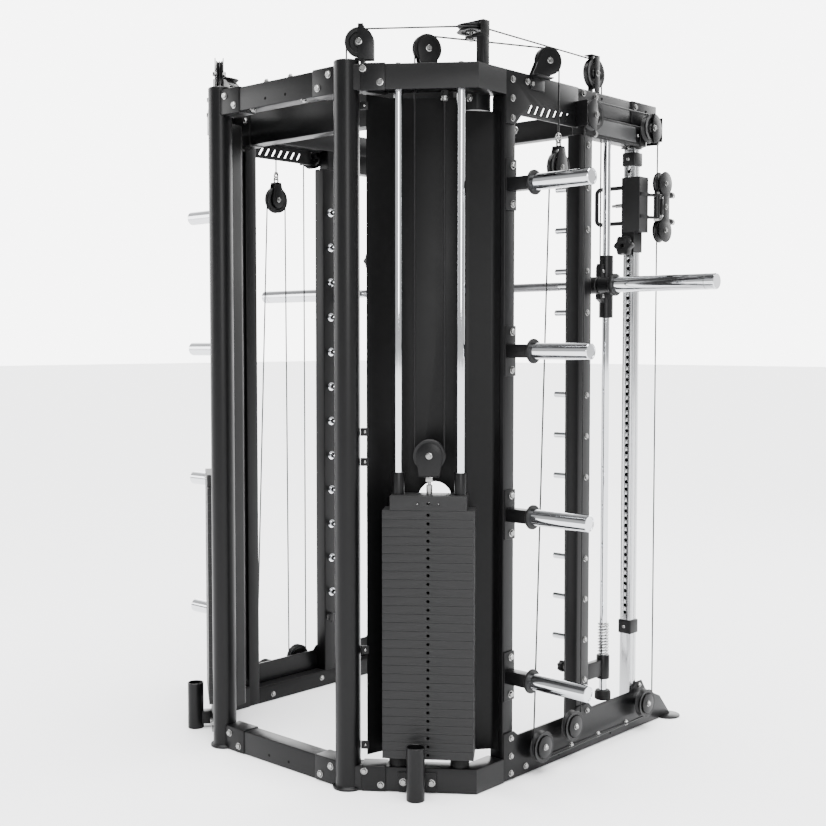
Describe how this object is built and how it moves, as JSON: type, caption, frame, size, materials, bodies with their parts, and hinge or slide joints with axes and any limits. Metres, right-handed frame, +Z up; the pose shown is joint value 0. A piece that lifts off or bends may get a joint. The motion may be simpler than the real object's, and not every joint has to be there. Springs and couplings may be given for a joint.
{
  "type": "functional trainer",
  "caption": "Functional trainer: steel frame with two weight stacks, two cable columns with height-adjustable pulleys, and a guided barbell with safety hooks.",
  "frame": {"origin": "middle of the footprint, on the floor", "axes": "+Z up, +X to the right of a person who faces the machine from its open front, -Y towards that person"},
  "size_m": [2.07, 1.367, 2.26],
  "materials": {
    "frame_paint": "satin black powder coat",
    "chrome": "polished chrome plate",
    "stack_iron": "dark grey painted plate",
    "nylon": "black nylon",
    "knob_plastic": "black moulded plastic",
    "cable_jacket": "black nylon jacket over steel cable"
  },
  "bodies": {
    "frame": {"left_rear_post": "frame_paint", "left_stack_bay_frame": "frame_paint", "left_stack_shroud": "frame_paint", "left_side_frame": "frame_paint", "left_cable_column": "chrome", "left_weight_stack": "stack_iron", "left_stack_cable": "cable_jacket", "left_trolley_cable": "cable_jacket", "left_balance_cable": "cable_jacket", "right_rear_post": "frame_paint", "right_stack_bay_frame": "frame_paint", "right_stack_shroud": "frame_paint", "right_side_frame": "frame_paint", "right_cable_column": "chrome", "right_weight_stack": "stack_iron", "right_stack_cable": "cable_jacket", "right_trolley_cable": "cable_jacket", "right_balance_cable": "cable_jacket", "rear_top_crossmember": "frame_paint", "rear_base_crossmember": "frame_paint", "upper_crossmember": "frame_paint", "front_crossmember": "frame_paint"},
    "left_head": {"left_head_plate": "stack_iron"},
    "left_floating_block": {"left_floating_block": "frame_paint"},
    "left_trolley": {"left_trolley": "frame_paint"},
    "left_pop_pin": {"left_pop_pin": "knob_plastic"},
    "left_swivel_arm": {"left_swivel_arm": "frame_paint"},
    "left_counterweight": {"left_counterweight": "stack_iron"},
    "right_head": {"right_head_plate": "stack_iron"},
    "right_floating_block": {"right_floating_block": "frame_paint"},
    "right_trolley": {"right_trolley": "frame_paint"},
    "right_pop_pin": {"right_pop_pin": "knob_plastic"},
    "right_swivel_arm": {"right_swivel_arm": "frame_paint"},
    "right_counterweight": {"right_counterweight": "stack_iron"},
    "left_stack_pulley": {"left_stack_pulley": "nylon"},
    "left_post_top_pulley": {"left_post_top_pulley": "nylon"},
    "left_stack_top_pulley": {"left_stack_top_pulley": "nylon"},
    "left_side_top_pulley": {"left_side_top_pulley": "nylon"},
    "left_corner_pulley": {"left_corner_pulley": "nylon"},
    "left_smith_top_pulley": {"left_smith_top_pulley": "nylon"},
    "left_rail_rear_pulley": {"left_rail_rear_pulley": "nylon"},
    "left_rail_front_pulley": {"left_rail_front_pulley": "nylon"},
    "left_base_rear_pulley": {"left_base_rear_pulley": "nylon"},
    "left_base_mid_pulley": {"left_base_mid_pulley": "nylon"},
    "left_base_front_pulley": {"left_base_front_pulley": "nylon"},
    "right_stack_pulley": {"right_stack_pulley": "nylon"},
    "right_post_top_pulley": {"right_post_top_pulley": "nylon"},
    "right_stack_top_pulley": {"right_stack_top_pulley": "nylon"},
    "right_side_top_pulley": {"right_side_top_pulley": "nylon"},
    "right_corner_pulley": {"right_corner_pulley": "nylon"},
    "right_smith_top_pulley": {"right_smith_top_pulley": "nylon"},
    "right_rail_rear_pulley": {"right_rail_rear_pulley": "nylon"},
    "right_rail_front_pulley": {"right_rail_front_pulley": "nylon"},
    "right_base_rear_pulley": {"right_base_rear_pulley": "nylon"},
    "right_base_mid_pulley": {"right_base_mid_pulley": "nylon"},
    "right_base_front_pulley": {"right_base_front_pulley": "nylon"},
    "smith_carriages": {"left_smith_carriage": "frame_paint", "right_smith_carriage": "frame_paint"},
    "smith_bar": {"smith_bar": "chrome"}
  },
  "joints": [
    {"name": "left_stack_lift", "type": "slide", "parent": "frame", "child": "left_head", "axis": [0, 0, 1], "range_m": [0, 0.75], "deforming": ["left_stack_cable"]},
    {"name": "left_floating_drop", "type": "slide", "parent": "frame", "child": "left_floating_block", "axis": [0, 0, 1], "range_m": [-1.5, 0]},
    {"name": "left_trolley_slide", "type": "slide", "parent": "frame", "child": "left_trolley", "axis": [0, 0, 1], "range_m": [-1.25, 0.025], "deforming": ["left_trolley_cable"]},
    {"name": "left_pop_pin_pull", "type": "slide", "parent": "left_trolley", "child": "left_pop_pin", "axis": [0, 1, 0], "range_m": [0, 0.013], "stiffness_N_per_m": 800},
    {"name": "left_swivel", "type": "hinge", "parent": "left_trolley", "child": "left_swivel_arm", "pos_m": [-0.648, -0.4885, 1.79], "axis": [0, 0, 1], "range_deg": [-65, 65]},
    {"name": "right_stack_lift", "type": "slide", "parent": "frame", "child": "right_head", "axis": [0, 0, 1], "range_m": [0, 0.75], "deforming": ["right_stack_cable"]},
    {"name": "right_floating_drop", "type": "slide", "parent": "frame", "child": "right_floating_block", "axis": [0, 0, 1], "range_m": [-1.5, 0]},
    {"name": "right_trolley_slide", "type": "slide", "parent": "frame", "child": "right_trolley", "axis": [0, 0, 1], "range_m": [-1.25, 0.025], "deforming": ["right_trolley_cable"]},
    {"name": "right_pop_pin_pull", "type": "slide", "parent": "right_trolley", "child": "right_pop_pin", "axis": [0, 1, 0], "range_m": [0, 0.013], "stiffness_N_per_m": 800},
    {"name": "right_swivel", "type": "hinge", "parent": "right_trolley", "child": "right_swivel_arm", "pos_m": [0.648, -0.4885, 1.79], "axis": [0, 0, 1], "range_deg": [-65, 65]},
    {"name": "left_stack_pulley_spin", "type": "hinge", "parent": "left_head", "child": "left_stack_pulley", "pos_m": [-0.48523, 0.49098, 1], "axis": [0.5976, -0.8018, 0], "continuous": true},
    {"name": "left_post_top_pulley_spin", "type": "hinge", "parent": "frame", "child": "left_post_top_pulley", "pos_m": [-0.32087, 0.61349, 2.203], "axis": [0.5976, -0.8018, 0], "continuous": true},
    {"name": "left_stack_top_pulley_spin", "type": "hinge", "parent": "frame", "child": "left_stack_top_pulley", "pos_m": [-0.46627, 0.48192, 2.183], "axis": [0.9106, -0.4133, 0], "continuous": true},
    {"name": "left_side_top_pulley_spin", "type": "hinge", "parent": "frame", "child": "left_side_top_pulley", "pos_m": [-0.63209, 0.11656, 2.183], "axis": [0.9106, -0.4133, 0], "continuous": true},
    {"name": "left_corner_pulley_spin", "type": "hinge", "parent": "frame", "child": "left_corner_pulley", "pos_m": [-0.5565, 0.38984, 2.2415], "axis": [0, 0, 1], "continuous": true},
    {"name": "left_smith_top_pulley_spin", "type": "hinge", "parent": "frame", "child": "left_smith_top_pulley", "pos_m": [-0.595, -0.1835, 2.1975], "axis": [1, 0, 0], "continuous": true},
    {"name": "left_rail_rear_pulley_spin", "type": "hinge", "parent": "frame", "child": "left_rail_rear_pulley", "pos_m": [-0.648, -0.1025, 2.049], "axis": [1, 0, 0], "continuous": true},
    {"name": "left_rail_front_pulley_spin", "type": "hinge", "parent": "frame", "child": "left_rail_front_pulley", "pos_m": [-0.648, -0.4445, 2.049], "axis": [1, 0, 0], "continuous": true},
    {"name": "left_base_rear_pulley_spin", "type": "hinge", "parent": "frame", "child": "left_base_rear_pulley", "pos_m": [-0.648, 0.1485, 0.084], "axis": [1, 0, 0], "continuous": true},
    {"name": "left_base_mid_pulley_spin", "type": "hinge", "parent": "frame", "child": "left_base_mid_pulley", "pos_m": [-0.648, -0.0145, 0.112], "axis": [1, 0, 0], "continuous": true},
    {"name": "left_base_front_pulley_spin", "type": "hinge", "parent": "frame", "child": "left_base_front_pulley", "pos_m": [-0.648, -0.4445, 0.093], "axis": [1, 0, 0], "continuous": true},
    {"name": "right_stack_pulley_spin", "type": "hinge", "parent": "right_head", "child": "right_stack_pulley", "pos_m": [0.48523, 0.49098, 1], "axis": [-0.5976, -0.8018, 0], "continuous": true},
    {"name": "right_post_top_pulley_spin", "type": "hinge", "parent": "frame", "child": "right_post_top_pulley", "pos_m": [0.32087, 0.61349, 2.203], "axis": [-0.5976, -0.8018, 0], "continuous": true},
    {"name": "right_stack_top_pulley_spin", "type": "hinge", "parent": "frame", "child": "right_stack_top_pulley", "pos_m": [0.46627, 0.48192, 2.183], "axis": [-0.9106, -0.4133, 0], "continuous": true},
    {"name": "right_side_top_pulley_spin", "type": "hinge", "parent": "frame", "child": "right_side_top_pulley", "pos_m": [0.63209, 0.11656, 2.183], "axis": [-0.9106, -0.4133, 0], "continuous": true},
    {"name": "right_corner_pulley_spin", "type": "hinge", "parent": "frame", "child": "right_corner_pulley", "pos_m": [0.5565, 0.38984, 2.2415], "axis": [0, 0, 1], "continuous": true},
    {"name": "right_smith_top_pulley_spin", "type": "hinge", "parent": "frame", "child": "right_smith_top_pulley", "pos_m": [0.595, -0.1835, 2.1975], "axis": [1, 0, 0], "continuous": true},
    {"name": "right_rail_rear_pulley_spin", "type": "hinge", "parent": "frame", "child": "right_rail_rear_pulley", "pos_m": [0.648, -0.1025, 2.049], "axis": [1, 0, 0], "continuous": true},
    {"name": "right_rail_front_pulley_spin", "type": "hinge", "parent": "frame", "child": "right_rail_front_pulley", "pos_m": [0.648, -0.4445, 2.049], "axis": [1, 0, 0], "continuous": true},
    {"name": "right_base_rear_pulley_spin", "type": "hinge", "parent": "frame", "child": "right_base_rear_pulley", "pos_m": [0.648, 0.1485, 0.084], "axis": [1, 0, 0], "continuous": true},
    {"name": "right_base_mid_pulley_spin", "type": "hinge", "parent": "frame", "child": "right_base_mid_pulley", "pos_m": [0.648, -0.0145, 0.112], "axis": [1, 0, 0], "continuous": true},
    {"name": "right_base_front_pulley_spin", "type": "hinge", "parent": "frame", "child": "right_base_front_pulley", "pos_m": [0.648, -0.4445, 0.093], "axis": [1, 0, 0], "continuous": true},
    {"name": "smith_slide", "type": "slide", "parent": "frame", "child": "smith_carriages", "axis": [0, 0, 1], "range_m": [-1.015, 0.36], "deforming": ["left_balance_cable", "right_balance_cable"]},
    {"name": "smith_bar_turn", "type": "hinge", "parent": "smith_carriages", "child": "smith_bar", "pos_m": [0, -0.2015, 1.518], "axis": [1, 0, 0], "range_deg": [-67, 10]},
    {"name": "left_counterweight_slide", "type": "slide", "parent": "frame", "child": "left_counterweight", "axis": [0, 0, 1], "range_m": [-0.36, 1.015]},
    {"name": "right_counterweight_slide", "type": "slide", "parent": "frame", "child": "right_counterweight", "axis": [0, 0, 1], "range_m": [-0.36, 1.015]}
  ],
  "couplings": [
    {"joint": "left_floating_drop", "follows": "left_stack_lift", "ratio": -2},
    {"joint": "right_floating_drop", "follows": "right_stack_lift", "ratio": -2},
    {"joint": "left_stack_pulley_spin", "follows": "left_stack_lift", "rad_per_m": 22.988},
    {"joint": "left_post_top_pulley_spin", "follows": "smith_slide", "rad_per_m": -25.974},
    {"joint": "left_stack_top_pulley_spin", "follows": "left_stack_lift", "rad_per_m": 51.948},
    {"joint": "left_side_top_pulley_spin", "follows": "left_stack_lift", "rad_per_m": 51.948},
    {"joint": "left_corner_pulley_spin", "follows": "smith_slide", "rad_per_m": -25.974},
    {"joint": "left_smith_top_pulley_spin", "follows": "smith_slide", "rad_per_m": -22.727},
    {"joint": "left_rail_rear_pulley_spin", "follows": "left_trolley_slide", "rad_per_m": -22.727},
    {"joint": "left_rail_front_pulley_spin", "follows": "left_trolley_slide", "rad_per_m": -22.727},
    {"joint": "left_base_rear_pulley_spin", "follows": "left_trolley_slide", "rad_per_m": -22.727},
    {"joint": "left_base_mid_pulley_spin", "follows": "left_trolley_slide", "rad_per_m": 22.727},
    {"joint": "left_base_front_pulley_spin", "follows": "left_trolley_slide", "rad_per_m": -22.727},
    {"joint": "right_stack_pulley_spin", "follows": "right_stack_lift", "rad_per_m": -22.988},
    {"joint": "right_post_top_pulley_spin", "follows": "smith_slide", "rad_per_m": 25.974},
    {"joint": "right_stack_top_pulley_spin", "follows": "right_stack_lift", "rad_per_m": -51.948},
    {"joint": "right_side_top_pulley_spin", "follows": "right_stack_lift", "rad_per_m": -51.948},
    {"joint": "right_corner_pulley_spin", "follows": "smith_slide", "rad_per_m": 25.974},
    {"joint": "right_smith_top_pulley_spin", "follows": "smith_slide", "rad_per_m": -22.727},
    {"joint": "right_rail_rear_pulley_spin", "follows": "right_trolley_slide", "rad_per_m": -22.727},
    {"joint": "right_rail_front_pulley_spin", "follows": "right_trolley_slide", "rad_per_m": -22.727},
    {"joint": "right_base_rear_pulley_spin", "follows": "right_trolley_slide", "rad_per_m": -22.727},
    {"joint": "right_base_mid_pulley_spin", "follows": "right_trolley_slide", "rad_per_m": 22.727},
    {"joint": "right_base_front_pulley_spin", "follows": "right_trolley_slide", "rad_per_m": -22.727},
    {"joint": "left_counterweight_slide", "follows": "smith_slide", "ratio": -1},
    {"joint": "right_counterweight_slide", "follows": "smith_slide", "ratio": -1}
  ]
}
